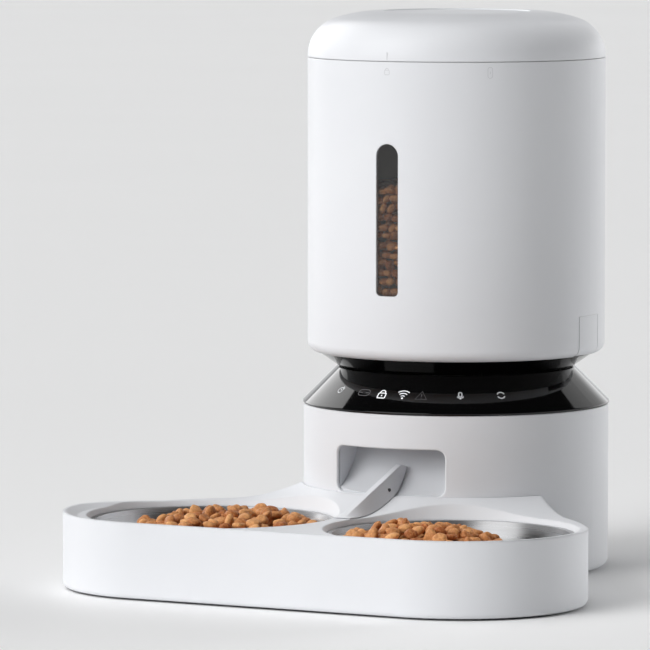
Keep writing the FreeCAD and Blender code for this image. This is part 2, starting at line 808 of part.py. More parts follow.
def idler_gear():
    small = gear(D.small_teeth, WHEEL_LOW - GEAR_LOW, IDLER_Y, GEAR_LOW, HALF_TOOTH_TURN)
    large = gear(D.idler_teeth, WHEEL_THICK, IDLER_Y, WHEEL_LOW, 0)
    bore = rod(D.gear_bore, 20, 0, IDLER_Y, GEAR_LOW - 5)
    return sub_part(cut(fuse([small, large]), [bore]), "idler_gear")


def idler_pin():
    pin = rod(D.gear_bore - 0.05, BOX_HIGH - BOX_LOW + BOX_PLATE, 0, IDLER_Y + AXIS_SETBACK, BOX_LOW)
    return sub_part(pin, "idler_pin", set_back=False)


def motor_pinion():
    wheel = gear(D.small_teeth, WHEEL_THICK + 1, PINION_Y, WHEEL_LOW, HALF_TOOTH_TURN)
    bore = rod(1, 20, 0, PINION_Y, WHEEL_LOW - 5)
    return sub_part(cut(wheel, [bore]), "motor_pinion")


def motor_shaft():
    shaft = rod(1, WHEEL_LOW + 4 - BOX_LOW + 5, 0, PINION_Y + AXIS_SETBACK, BOX_LOW - 5)
    return sub_part(shaft, "motor_shaft", set_back=False)


def motor():
    """A small round can motor with a front boss and its shaft's hole."""
    can = rod(12, 28, 0, PINION_Y, BOX_LOW - 28)
    boss = rod(5, 2, 0, PINION_Y, BOX_LOW)
    hole = rod(1.05, 40, 0, PINION_Y, BOX_LOW - 6)
    return sub_part(cut(fuse([can, boss]), [hole]), "motor")


def motor_terminals():
    return group("motor_terminals", [
        box(x - 1.2, x + 1.2, PINION_Y - 0.25, PINION_Y + 0.25, BOX_LOW - 33, BOX_LOW - 28) for x in (-7, 7)])


def gearbox_plate(label, low, holes, posts):
    """One of the two plates that carry the gears, with its bearing holes and its corner posts."""
    plate = box(-28, 28, -27, PINION_Y + 14, low, low + BOX_PLATE)
    bores = [rod(radius, 20, 0, y, low - 5) for y, radius in holes]
    posts = [rod(3, top - bottom, x, y, bottom) for x, y in ((-24, -23), (24, -23), (24, 60), (-24, 60))
             for bottom, top in posts]
    return sub_part(cut(fuse([plate] + posts), bores), label)


def gearbox_base():
    return gearbox_plate("gearbox_base", BOX_LOW, [
        (0, D.drive_shaft_radius + 0.05), (IDLER_Y, D.gear_bore), (PINION_Y, 5.1)],
        [(BOX_LOW, BOX_HIGH)])


def gearbox_cover():
    return gearbox_plate("gearbox_cover", BOX_HIGH, [
        (0, 5), (IDLER_Y, D.gear_bore)], [(BOX_HIGH, DECK_BOTTOM)])


def shaft_bushing():
    sleeve = rod(5, 4, 0, 0, BOX_HIGH - 0.5)
    bore = rod(D.drive_shaft_radius + 0.05, 10, 0, 0, BOX_HIGH - 2)
    return sub_part(cut(sleeve, [bore]), "shaft_bushing")


# ---------------------------------------------------------------- tank

FLOOR_LOW = D.neck_height + 0.2
FLOOR_TOP = FLOOR_LOW + 2.6
CHAMBER_TOP = FLOOR_TOP + 19.6
TANK_INSIDE = D.tank_radius - D.tank_wall
TANK_TOP = D.lid_seam - 0.3
HUB_BORE = size(9)
BOTTOM_RADIUS = D.tank_radius - D.tank_fillet
CURVE_Z = D.tank_bottom + D.tank_fillet
SHOULDER = size(84.6)


def tank_shell():
    body = turned("tank_shell", [
        (SHOULDER + 0.4, D.tank_bottom),
        (BOTTOM_RADIUS, D.tank_bottom, D.tank_fillet),
        (D.tank_radius, CURVE_Z),
        (D.tank_radius, TANK_TOP),
        (TANK_INSIDE, TANK_TOP),
        (TANK_INSIDE, CURVE_Z, D.tank_wall - D.tank_fillet),
        (BOTTOM_RADIUS, D.tank_bottom + D.tank_wall),
        (SHOULDER + 0.4, D.tank_bottom + D.tank_wall)])
    pocket(body, outline(sketch_on(body, "XZ_Plane", 60), window_corners(0)), 50, backward=True)
    for side in (-1, 1):
        section = outline(sketch_on(body, "XZ_Plane"), [
            (side * (SHOULDER - 1), D.tank_bottom - 1), (side * (D.tank_radius + 1), D.tank_bottom - 1),
            (side * (D.tank_radius + 1), D.tab_top), (side * (SHOULDER - 1), D.tab_top)])
        groove(body, section, D.tab_half_angle * 2, symmetric=True)
    return body


def window_corners(inset):
    """The window's outline: a round top, a straight body and two rounded bottom corners."""
    half = D.window_half - inset
    low = D.window_bottom + inset
    corner = D.window_corner - inset
    round_z = D.window_top - D.window_half
    return [(-half + corner, low), (half - corner, low, corner), (half, low + corner), (half, round_z, half),
            (size(0), round_z + half, half), (-half, round_z), (-half, low + corner, corner)]


def tank_window():
    body = new_body("tank_window")
    pad(body, outline(sketch_on(body, "XZ_Plane", 80), window_corners(0.15)), 20)
    face = sketch_on(body, "XY_Plane", D.window_bottom - 5)
    circle(face, 0, 0, D.tank_radius - 0.3)
    circle(face, 0, 0, D.tank_radius + 30)
    pocket(body, face, 110, backward=True)
    pocket(body, circle(sketch_on(body, "XY_Plane", D.window_bottom - 5), 0, 0, TANK_INSIDE + 0.1), 110,
           backward=True)
    return body


def release_tab(label, side):
    """A springy tongue of the tank's wall, between two slits, that is pressed in to free the tank."""
    body = new_body(label)
    reach = D.tank_fillet - D.tank_wall
    section = outline(sketch_on(body, "XZ_Plane"), [
        (side * (BOTTOM_RADIUS + D.tank_fillet / 2), CURVE_Z - D.tank_fillet * sine(60), side * D.tank_fillet),
        (side * D.tank_radius, CURVE_Z),
        (side * D.tank_radius, D.tab_top),
        (side * TANK_INSIDE, D.tab_top),
        (side * TANK_INSIDE, CURVE_Z, -side * reach),
        (side * (BOTTOM_RADIUS + reach / 2), CURVE_Z - reach * sine(60))])
    revolve(body, section, (D.tab_half_angle - D.tab_slit) * 2, symmetric=True)
    return body


def tank_collar():
    """The dark tapered foot of the tank, with the floor under the rotor and the outlet in it."""
    body = turned("tank_collar", [
        (HUB_BORE + 1.4, FLOOR_LOW),
        (D.neck_radius - 0.6, FLOOR_LOW),
        (D.neck_radius, FLOOR_LOW + 0.6),
        (BOTTOM_RADIUS - 0.2, D.tank_bottom),
        (SHOULDER, D.tank_bottom),
        (SHOULDER, D.tank_bottom + 21),
        (SHOULDER - 2.4, D.tank_bottom + 21),
        (SHOULDER - 2.4, D.tank_bottom - 0.6),
        (D.neck_radius - 1, FLOOR_TOP),
        (HUB_BORE + 1.4, FLOOR_TOP)])
    outlet = outline(sketch_on(body, "XY_Plane", FLOOR_LOW), box_corners(*OUTLET, size(4)))
    pocket(body, outlet, 10, backward=True)
    return body


def hopper_funnel():
    slope = (D.tab_top + 6 - CHAMBER_TOP) / (TANK_INSIDE - 0.3 - D.neck_bore)
    return turned("hopper_funnel", [
        (D.neck_bore, FLOOR_TOP),
        (D.neck_bore + 2, FLOOR_TOP),
        (D.neck_bore + 2, CHAMBER_TOP - 1.2),
        (TANK_INSIDE - 0.3, D.tab_top + 3.6),
        (TANK_INSIDE - 0.3, D.tab_top + 6),
        (TANK_INSIDE - 0.3 - size(1.2) / slope, D.tab_top + 6),
        (D.neck_bore, CHAMBER_TOP + 1.2)])


def outlet_shield():
    """A fixed plate over the outlet, so that food only leaves in a blade's pocket."""
    body = new_body("outlet_shield")
    plate = sketch_on(body, "YZ_Plane")
    outline(plate, box_corners(-D.neck_bore + 0.2, size(-17), CHAMBER_TOP - 1, CHAMBER_TOP + 0.6))
    revolve(body, plate, 88, symmetric=True)
    return body


def collar_screws():
    screws = []
    for x, y in ring_points(68, [45, 135, 225, 315]):
        screws.append(fuse([rod(2.6, 1.4, x, y, FLOOR_TOP), rod(1.3, 2.2, x, y, FLOOR_TOP - 2.2)]))
    return group("collar_screws", screws)


# ---------------------------------------------------------------- rotor

BLADE_LOW = FLOOR_TOP + 0.6


def rotor_hub():
    body = turned("rotor_hub", [
        (size(0), FLOOR_LOW + 0.6),
        (HUB_BORE + 1, FLOOR_LOW + 0.6),
        (HUB_BORE + 1, FLOOR_TOP + 0.3),
        (D.hub_radius, FLOOR_TOP + 0.3),
        (D.hub_radius, CHAMBER_TOP + 3, D.hub_radius),
        (size(4), CHAMBER_TOP + 10),
        (size(0), CHAMBER_TOP + 10)])
    socket = sketch_on(body, "XY_Plane", FLOOR_LOW + 0.6)
    corner = 6.1
    outline(socket, [(x, y) for x, y in ring_points(corner, range(0, 360, 60))])
    pocket(body, socket, 9, backward=True)
    return body


def rotor_blades():
    """A soft ring of paddles pressed onto the hub."""
    body = new_body("rotor_blades")
    ring = sketch_on(body, "XY_Plane", BLADE_LOW)
    circle(ring, 0, 0, D.hub_radius + 0.05)
    circle(ring, 0, 0, D.hub_radius + 3)
    pad(body, ring, D.blade_height)
    paddle = outline(sketch_on(body, "XY_Plane", BLADE_LOW), box_corners(
        D.hub_radius + 2, D.neck_bore - 1.2, size(-1.2), size(1.2)))
    blade = pad(body, paddle, D.blade_height)
    polar(body, blade, D.blade_count)
    return body


# ---------------------------------------------------------------- lid

LID_LOW = D.lid_seam
CORNER_X = D.tank_radius - D.lid_corner
CORNER_Z = LID_LOW + 0.7
LINER_LOW = LID_LOW + 0.4
PLUG_RADIUS = TANK_INSIDE - 1.2


def lid_shell():
    """A domed cap: an upright side, a round shoulder, a gentle crown and a shallow round recess."""
    shoulder_x = CORNER_X + D.lid_corner * cosine(D.lid_shoulder)
    shoulder_z = CORNER_Z + D.lid_corner * sine(D.lid_shoulder)
    crown_x = shoulder_x - D.lid_crown * cosine(D.lid_shoulder)
    crown_z = shoulder_z - D.lid_crown * sine(D.lid_shoulder)
    recess_z = crown_z + root(D.lid_crown * D.lid_crown - (D.lid_recess - crown_x) * (D.lid_recess - crown_x))
    inner = D.lid_corner - D.lid_wall
    inner_x = CORNER_X + inner * cosine(D.lid_shoulder)
    inner_z = CORNER_Z + inner * sine(D.lid_shoulder)
    return turned("lid_shell", [
        (D.tank_radius, LID_LOW),
        (D.tank_radius, CORNER_Z, D.lid_corner),
        (shoulder_x, shoulder_z, D.lid_crown),
        (D.lid_recess, recess_z),
        (D.lid_recess - 0.7, recess_z - D.lid_recess_depth),
        (size(0), recess_z - D.lid_recess_depth),
        (size(0), recess_z - D.lid_recess_depth - D.lid_wall),
        (D.lid_recess - 2, recess_z - D.lid_recess_depth - D.lid_wall),
        (inner_x, inner_z, -inner),
        (D.tank_radius - D.lid_wall, CORNER_Z),
        (D.tank_radius - D.lid_wall, LID_LOW)])


def lid_liner():
    return turned("lid_liner", [
        (size(0), LINER_LOW),
        (PLUG_RADIUS - 2.4, LINER_LOW),
        (PLUG_RADIUS - 2.4, LID_LOW - 11),
        (PLUG_RADIUS, LID_LOW - 11),
        (PLUG_RADIUS, LID_LOW - 8),
        (PLUG_RADIUS - 1, LID_LOW - 8),
        (PLUG_RADIUS - 1, LID_LOW - 4.4),
        (PLUG_RADIUS, LID_LOW - 4.4),
        (PLUG_RADIUS, LINER_LOW),
        (D.tank_radius - D.lid_wall - 0.2, LINER_LOW),
        (D.tank_radius - D.lid_wall - 0.2, LINER_LOW + 2),
        (size(0), LINER_LOW + 2)])


def lid_seal():
    return turned("lid_seal", box_corners(
        PLUG_RADIUS - 0.7, TANK_INSIDE - D.gap, LID_LOW - 7.6, LID_LOW - 4.8))


def desiccant_box():
    return turned("desiccant_box", [
        (size(31), LID_LOW - 10), (size(33), LID_LOW - 10), (size(33), LINER_LOW), (size(31), LINER_LOW)])


def desiccant_cover():
    body = turned("desiccant_cover", [
        (size(0), LID_LOW - 12.4), (size(33), LID_LOW - 12.4), (size(33), LID_LOW - 10.3),
        (size(30.6), LID_LOW - 10.3), (size(30.6), LID_LOW - 8), (size(28.8), LID_LOW - 8),
        (size(28.8), LID_LOW - 10.6), (size(0), LID_LOW - 10.6)])
    slot = outline(sketch_on(body, "XY_Plane", LID_LOW - 13), box_corners(
        size(9), size(24), size(-1.3), size(1.3), size(1.2)))
    slit = pocket(body, slot, 10, backward=True)
    polar(body, slit, 12)
    return body


# ---------------------------------------------------------------- bowl tray

TOWER_CLEAR = D.base_radius + D.gap
LEDGE = D.bowl_rim_top - 1
WELL_RADIUS = D.bowl_radius - 2.1
RAMP_START = TOWER_CLEAR + 1.2
RAMP_END = size(150)


def tray_outline(inset, back=TOWER_CLEAR):
    """The tray seen from above, inset by a distance: a straight front, round ends, slow flanks that
    run in to the tower at 45 degrees, and a hollow back edge about the tower's axis."""
    end = D.tray_end_radius - inset
    flank = D.tray_flank_radius - inset
    turn = D.tray_end_turn
    end_x = D.tray_end_offset + end * cosine(turn)
    end_y = end * sine(turn) - D.tray_end_front
    shift = D.tray_flank_radius - D.tray_end_radius
    flank_x = D.tray_end_offset - shift * cosine(turn) + flank * cosine(45)
    flank_y = flank * sine(45) - D.tray_end_front - shift * sine(turn)
    total = flank_x + flank_y
    back = back + inset
    spread = root(back * back * 2 - total * total)
    near_x = (total + spread) / 2
    near_y = (total - spread) / 2
    front = -D.tray_end_front - end
    return [(-D.tray_end_offset, front), (D.tray_end_offset, front, end), (end_x, end_y, flank),
            (flank_x, flank_y), (near_x, near_y, -back), (-near_x, near_y), (-flank_x, flank_y, flank),
            (-end_x, end_y, end)]


def bowl_circles(sketch, radius, sides=(-1, 1)):
    for side in sides:
        circle(sketch, side * D.bowl_offset, -D.bowl_front, radius)
    return sketch


def bowl_tray():
    """A deck that falls away from the tower, a raised rim that slopes inwards, two wells that the bowls
    hang in, an open underside, and two tongues that enter the base."""
    body = new_body("bowl_tray")
    pad(body, outline(sketch_on(body, "XY_Plane", D.base_bottom), tray_outline(0)), D.tray_back - D.base_bottom)
    round_edges(body, D.tray_foot_round, lambda edge: edge.BoundBox.ZMax < D.base_bottom.value + 0.01)
    top = outline(sketch_on(body, "XZ_Plane"), [
        (RAMP_START, D.tray_back, D.tray_ramp),
        (RAMP_END, D.tray_deck),
        (RAMP_END + 40, D.tray_deck),
        (RAMP_END + 100, D.tray_height),
        (RAMP_END + 150, D.tray_height),
        (RAMP_END + 150, D.tray_back + 10),
        (RAMP_START, D.tray_back + 10)])
    groove(body, top)
    rim = outline(sketch_on(body, "XY_Plane", D.tray_deck), tray_outline(D.tray_rim, RAMP_END - D.tray_rim))
    flared(body, rim, D.tray_height - D.tray_deck, D.tray_rim_flare)
    pocket(body, bowl_circles(sketch_on(body, "XY_Plane", LEDGE), D.bowl_radius + 0.5), 40, backward=True)
    for side in (-1, 1):
        mouth = bowl_circles(sketch_on(body, "XY_Plane", D.bowl_rim_top + 0.2), D.bowl_radius + 0.5, [side])
        flared(body, mouth, 12, D.bowl_mouth_flare)
    pocket(body, bowl_circles(sketch_on(body, "XY_Plane", D.base_bottom + 3), WELL_RADIUS), 60, backward=True)
    under = outline(sketch_on(body, "XY_Plane", D.base_bottom - 1), tray_outline(D.tray_wall))
    bowl_circles(under, WELL_RADIUS + 2.4)
    pocket(body, under, LEDGE - D.base_bottom - 1, backward=True)
    tongues = sketch_on(body, "XZ_Plane", 78)
    for near, far in ((-TONGUE_X[1], -TONGUE_X[0]), TONGUE_X):
        outline(tongues, box_corners(near, far, TONGUE_Z[0], TONGUE_Z[1]))
    pad(body, tongues, 15)
    return body


def tray_feet():
    spots = [(-125, -208), (125, -208), (125, -130), (-125, -130)]
    return group("tray_feet", [rod(D.foot_radius, D.base_bottom, x, y, 0) for x, y in spots])


def ramp_height(reach):
    """Height of the tray's ramp at a distance from the tower's axis."""
    run = RAMP_END - RAMP_START
    fall = D.tray_back - D.tray_deck
    chord = root(run * run + fall * fall)
    climb = root(D.tray_ramp * D.tray_ramp - chord * chord / 4) / chord
    offset = reach - (RAMP_START + RAMP_END) / 2 - fall * climb
    centre_z = (D.tray_back + D.tray_deck) / 2 + run * climb
    return centre_z - root(D.tray_ramp * D.tray_ramp - offset * offset)


def crest(reach):
    """Height of the splitter's crest at a distance in front of the tower's axis."""
    return D.tray_deck + 1 + D.splitter_slope * (D.splitter_front - reach)


# Distances in front of the tower's axis, and the splitter's half width at its underside there.
SPLITTER_SECTIONS = [(72, 2.2), (79, 3.2), (86, 4.6), (98, 7.4), (108, 7.3), (120, 7.2), (134, 7.6),
                     (146, 7.2), (154, 5.6)]
SLIDE_CLEAR = D.slide_radius - 1


def underside(distance):
    """Height of the splitter's underside: over the chute's slide and then over the tray's ramp."""
    if distance < RAMP_START.value:
        return slide_height(size(-distance), SLIDE_CLEAR)
    return ramp_height(size(distance)) + D.splitter_lift


def splitter_section(body, distance, half_width):
    """A cross section of the splitter: a narrow crest, sloping sides, and a base to be trimmed."""
    low = underside(distance)
    tip = distance == D.splitter_tip.value
    top = D.splitter_tip_top if tip else crest(size(distance))
    return outline(sketch_on(body, "XZ_Plane", distance), [
        (size(-half_width), low - 3),
        (size(half_width), low - 3),
        (size(half_width), low + 0.2),
        (D.splitter_half, top),
        (-D.splitter_half, top),
        (size(-half_width), low + 0.2)])


def loft(body, sections):
    """Join cross sections into one solid with straight edges from each to the next."""
    made = body.newObject("PartDesign::AdditiveLoft", body.Label + "_loft")
    made.Profile = sections[0]
    made.Sections = sections[1:]
    made.Ruled = True
    if volume_of(body) <= 0:
        raise RuntimeError(made.Label + " has no volume")
    return made


def splitter():
    """A wedge that parts the falling food: its tip stands in the chute's opening, and its sides spread
    down to the tray between the two bowls."""
    body = new_body("splitter")
    loft(body, [splitter_section(body, distance, half_width) for distance, half_width in SPLITTER_SECTIONS])
    seam = RAMP_START - 0.5
    slide_end = D.splitter_tip - 6
    low = D.tray_deck - 5
    over_slide = outline(sketch_on(body, "YZ_Plane"), [
        (-seam, low),
        (-slide_end, low),
        (-slide_end, slide_height(-slide_end, SLIDE_CLEAR), -SLIDE_CLEAR),
        (-seam, slide_height(-seam, SLIDE_CLEAR))])
    pocket(body, over_slide, 40, symmetric=True)
    ground = D.tray_deck + D.splitter_lift
    groove(body, outline(sketch_on(body, "XZ_Plane"), [
        (seam, low),
        (RAMP_END + 40, low),
        (RAMP_END + 40, ground),
        (RAMP_END, ground, -D.tray_ramp),
        (RAMP_START, D.tray_back + D.splitter_lift),
        (seam, D.tray_back + D.splitter_lift)]))
    return body


def splitter_pin():
    half = D.splitter_pin_half
    pin = rod(1.2, half * 2, -half, AXIS_SETBACK - 101, 58, Vector(1, 0, 0))
    return sub_part(pin, "splitter_pin", set_back=False)


def bowl(label, side):
    body = new_body(label)
    gauge = D.bowl_gauge
    wall = D.bowl_radius - 3.4
    floor = D.bowl_floor
    revolve(body, outline(sketch_on(body, "XZ_Plane"), [
        (size(0), floor - gauge),
        (D.bowl_floor_radius, floor - gauge, D.bowl_side_radius + gauge),
        (wall + gauge, LEDGE + 0.05),
        (D.bowl_radius, LEDGE + 0.05),
        (D.bowl_radius, D.bowl_rim_top),
        (wall, D.bowl_rim_top, -D.bowl_side_radius),
        (D.bowl_floor_radius, floor),
        (size(0), floor)]))
    bind(body, "Placement.Base.x", side * D.bowl_offset)
    bind(body, "Placement.Base.y", AXIS_SETBACK - D.bowl_front)
    return body


# ---------------------------------------------------------------- build, check and write


def build():
    base_housing()
    base_bottom_plate()
    base_feet()
    bottom_screws()
    control_ring()
    deck_plate()
    chute()
    battery_box()
    battery_cells()
    battery_contacts()
    battery_door()
    power_inlet()
    power_inlet_pin()
    main_board()
    board_components()
    touch_board()
    speaker()
    speaker_cone()
    microphone()
    food_sensors()
    gearbox_base()
    gearbox_cover()
    shaft_bushing()
    drive_gear()
    drive_shaft()
    drive_coupler()
    idler_gear()
    idler_pin()
    motor()
    motor_terminals()
    motor_shaft()
    motor_pinion()
    tank_shell()
    tank_window()
    tank_collar()
    hopper_funnel()
    outlet_shield()
    collar_screws()
    release_tab("release_tab_left", -1)
    release_tab("release_tab_right", 1)
    rotor_hub()
    rotor_blades()
    lid_shell()
    lid_liner()
    lid_seal()
    desiccant_box()
    desiccant_cover()
    bowl_tray()
    tray_feet()
    splitter()
    splitter_pin()
    bowl("bowl_left", -1)
    bowl("bowl_right", 1)


def check_document():
    """Stop if any object failed or any sub-part has no sound solid."""
    doc.recompute()
    for thing in doc.Objects:
        if "Invalid" in thing.State or "Error" in thing.State:
            raise RuntimeError(thing.Label + " failed: " + str(thing.State))
    for thing in SUB_PARTS:
        if thing.Shape.isNull() or not thing.Shape.isValid() or not thing.Shape.Solids:
            raise RuntimeError(thing.Label + " has no valid solid")


def write_parts():
    os.makedirs("parts", exist_ok=True)
    for thing in SUB_PARTS:
        thing.Shape.exportStep(os.path.join("parts", thing.Label + ".step"))
        bounds = thing.Shape.BoundBox
        print(thing.Label, len(thing.Shape.Solids), "solids", round(thing.Shape.Volume, 1), "mm3",
              [round(item, 2) for item in (bounds.XMin, bounds.XMax, bounds.YMin, bounds.YMax,
                                           bounds.ZMin, bounds.ZMax)])


build()
check_document()
write_parts()
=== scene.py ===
"""Looks of the automatic pet feeder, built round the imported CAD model.

Lengths are metres, except in the pictograms and marks, which are drawn in millimetres.
"""

import json
import math
import random

import bmesh
import bpy
from mathutils import Matrix, Vector, noise


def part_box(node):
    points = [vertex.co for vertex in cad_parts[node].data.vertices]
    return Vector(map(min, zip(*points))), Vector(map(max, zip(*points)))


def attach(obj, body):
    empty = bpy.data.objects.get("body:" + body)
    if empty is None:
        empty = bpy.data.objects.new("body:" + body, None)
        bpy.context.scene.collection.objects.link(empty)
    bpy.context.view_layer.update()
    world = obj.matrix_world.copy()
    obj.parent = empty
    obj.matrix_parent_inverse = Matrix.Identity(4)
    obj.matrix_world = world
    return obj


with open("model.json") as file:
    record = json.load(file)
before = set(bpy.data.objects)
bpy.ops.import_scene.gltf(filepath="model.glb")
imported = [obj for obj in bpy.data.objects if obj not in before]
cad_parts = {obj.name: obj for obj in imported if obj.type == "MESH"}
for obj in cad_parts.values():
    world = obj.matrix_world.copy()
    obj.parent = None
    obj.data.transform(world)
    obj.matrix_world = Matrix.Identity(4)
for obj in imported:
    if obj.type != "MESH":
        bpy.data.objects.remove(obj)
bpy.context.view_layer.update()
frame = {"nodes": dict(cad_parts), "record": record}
MM = 0.001
SEED = 11

# ---------------------------------------------------------------- places read from the CAD model

lid_low, lid_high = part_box("lid_shell")
ring_low, ring_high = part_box("control_ring")
window_low, window_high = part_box("tank_window")
AXIS = Vector(((lid_low.x + lid_high.x) / 2, (lid_low.y + lid_high.y) / 2, 0))
TOWER_RADIUS = (lid_high.x - lid_low.x) / 2
LID_SEAM = lid_low.z
RING_EDGE = (ring_high.x - ring_low.x) / 2
RING_SEAM = 0.1053
RING_SETBACK = 0.0004
RING_RISE = 0.0017
# radius plus height is the same everywhere on the control ring's slope
CONE_SUM = RING_EDGE - RING_SETBACK + RING_SEAM + RING_RISE
TANK_WALL = 0.0026
TANK_INSIDE = TOWER_RADIUS - TANK_WALL


def bowl_centre(name):
    """Middle of a bowl's rim."""
    low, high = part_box(name)
    return Vector(((low.x + high.x) / 2, (low.y + high.y) / 2, high.z))


# ---------------------------------------------------------------- node materials


class Finish:
    """A node material on the object's own coordinates."""

    def __init__(self, name, roughness=0.4, metallic=0.0, alpha=1.0):
        self.material = bpy.data.materials.new(name)
        self.material.use_nodes = True
        self.tree = self.material.node_tree
        self.shader = self.tree.nodes["Principled BSDF"]
        self.shader.inputs["Roughness"].default_value = roughness
        self.shader.inputs["Metallic"].default_value = metallic
        self.shader.inputs["Alpha"].default_value = alpha
        self.place = self.tree.nodes.new("ShaderNodeTexCoord").outputs["Object"]

    def node(self, kind, settings=None, **inputs):
        made = self.tree.nodes.new(kind)
        for key, value in (settings or {}).items():
            setattr(made, key, value)
        for key, value in inputs.items():
            socket = made.inputs[key.replace("_", " ")]
            if isinstance(value, bpy.types.NodeSocket):
                self.tree.links.new(value, socket)
            else:
                socket.default_value = value
        return made

    def noise(self, scale, detail=2.0, place=None):
        made = self.node("ShaderNodeTexNoise", Vector=place or self.place, Scale=scale, Detail=detail)
        return made.outputs["Fac"]

    def between(self, fac, low, high, start=0.3, stop=0.7):
        ends = {"From_Min": start, "From_Max": stop, "To_Min": low, "To_Max": high}
        return self.node("ShaderNodeMapRange", **ends, Value=fac).outputs["Result"]

    def mix(self, fac, first, second):
        made = self.node("ShaderNodeMix", {"data_type": "RGBA"})
        for index, value in ((0, fac), (6, first), (7, second)):
            if isinstance(value, bpy.types.NodeSocket):
                self.tree.links.new(value, made.inputs[index])
            else:
                made.inputs[index].default_value = value if index == 0 else (*value, 1)
        return made.outputs[2]

    def colour(self, fac, first, second):
        self.tree.links.new(self.mix(fac, first, second), self.shader.inputs["Base Color"])

    def rough(self, fac, low, high):
        self.tree.links.new(self.between(fac, low, high), self.shader.inputs["Roughness"])

    def bump(self, height, distance, strength=1.0, edge=None):
        made = self.node("ShaderNodeBump", Height=height, Distance=distance, Strength=strength)
        if edge is not None:
            bevel = self.node("ShaderNodeBevel", {"samples": 4}, Radius=edge)
            self.tree.links.new(bevel.outputs["Normal"], made.inputs["Normal"])
        self.tree.links.new(made.outputs["Normal"], self.shader.inputs["Normal"])
        return self


def moulded(name, dark, light, roughness, grain, edge=None):
    """Moulded plastic: a faint mottle, uneven gloss and a fine spark-eroded grain."""
    finish = Finish(name)
    mottle = finish.noise(9, 3)
    finish.colour(finish.between(mottle, 0, 1), dark, light)
    finish.rough(finish.noise(55, 4), roughness - 0.04, roughness + 0.05)
    return finish.bump(finish.noise(2600, 2), grain, 0.6, edge).material


def metal(name, colour, roughness, streak):
    """Metal with fine scratches along one direction."""
    finish = Finish(name, metallic=1.0)
    lines = finish.node("ShaderNodeMapping", Vector=finish.place, Scale=streak).outputs["Vector"]
    scratches = finish.noise(1.0, 6, lines)
    finish.colour(finish.between(scratches, 0, 1), [0.8 * part for part in colour], colour)
    finish.rough(scratches, roughness - 0.06, roughness + 0.1)
    return finish.bump(scratches, 0.00001, 0.5).material


def gloss_black():
    """Polished black plastic of the control ring and the tank's collar."""
    finish = Finish("gloss_black")
    clouds = finish.between(finish.noise(14, 4), 0, 1)
    finish.colour(clouds, (0.0014, 0.0014, 0.0015), (0.0026, 0.0026, 0.0028))
    finish.rough(finish.noise(220, 5), 0.035, 0.085)
    return finish.bump(finish.noise(90, 2), 0.000004, 0.5, 0.0003).material


def smoked_glass():
    """Smoked clear plastic of the tank's window."""
    finish = Finish("smoke_window", alpha=0.3)
    clouds = finish.between(finish.noise(30, 2), 0, 1)
    finish.colour(clouds, (0.075, 0.074, 0.073), (0.09, 0.089, 0.088))
    finish.rough(finish.noise(160, 3), 0.03, 0.09)
    return finish.bump(finish.noise(60, 2), 0.000004, 0.5).material


def spun_steel(name, centre):
    """Steel spun about an upright axis: fine rings about the bowl's own centre."""
    finish = Finish(name, metallic=1.0)
    moved = finish.node("ShaderNodeMapping", Vector=finish.place, Location=(-centre.x, -centre.y, 0))
    parts = finish.node("ShaderNodeSeparateXYZ", Vector=moved.outputs["Vector"])
    flat = finish.node("ShaderNodeCombineXYZ", X=parts.outputs["X"], Y=parts.outputs["Y"])
    reach = finish.node("ShaderNodeVectorMath", {"operation": "LENGTH"})
    finish.tree.links.new(flat.outputs["Vector"], reach.inputs[0])
    ring = finish.node("ShaderNodeCombineXYZ", X=reach.outputs["Value"], Y=parts.outputs["Z"])
    grooves = finish.noise(1700, 3, ring.outputs["Vector"])
    cloud = finish.noise(24, 3)
    finish.colour(finish.between(cloud, 0, 1), (0.46, 0.465, 0.475), (0.58, 0.585, 0.595))
    finish.rough(grooves, 0.24, 0.36)
    return finish.bump(grooves, 0.000012, 0.5).material


def kibble_finish():
    """Baked crust; each piece's own tone is stored on its points."""
    finish = Finish("kibble")
    tone = finish.node("ShaderNodeAttribute", {"attribute_name": "tone"}).outputs["Fac"]
    body = finish.mix(tone, (0.36, 0.105, 0.028), (0.93, 0.49, 0.20))
    specks = finish.between(finish.noise(700, 4), 0, 1, 0.42, 0.62)
    crust = finish.mix(specks, (0.32, 0.09, 0.024), (0.90, 0.46, 0.18))
    finish.colour(0.3, body, crust)
    finish.rough(finish.noise(300, 3), 0.5, 0.72)
    return finish.bump(finish.noise(1500, 4), 0.00015, 0.8).material


def glowing(name, colour, power):
    """A lit pictogram behind a thin print."""
    finish = Finish(name, roughness=0.3)
    finish.colour(finish.between(finish.noise(900, 2), 0, 1), [0.85 * part for part in colour], colour)
    finish.shader.inputs["Emission Color"].default_value = (*colour, 1)
    finish.shader.inputs["Emission Strength"].default_value = power
    return finish.material


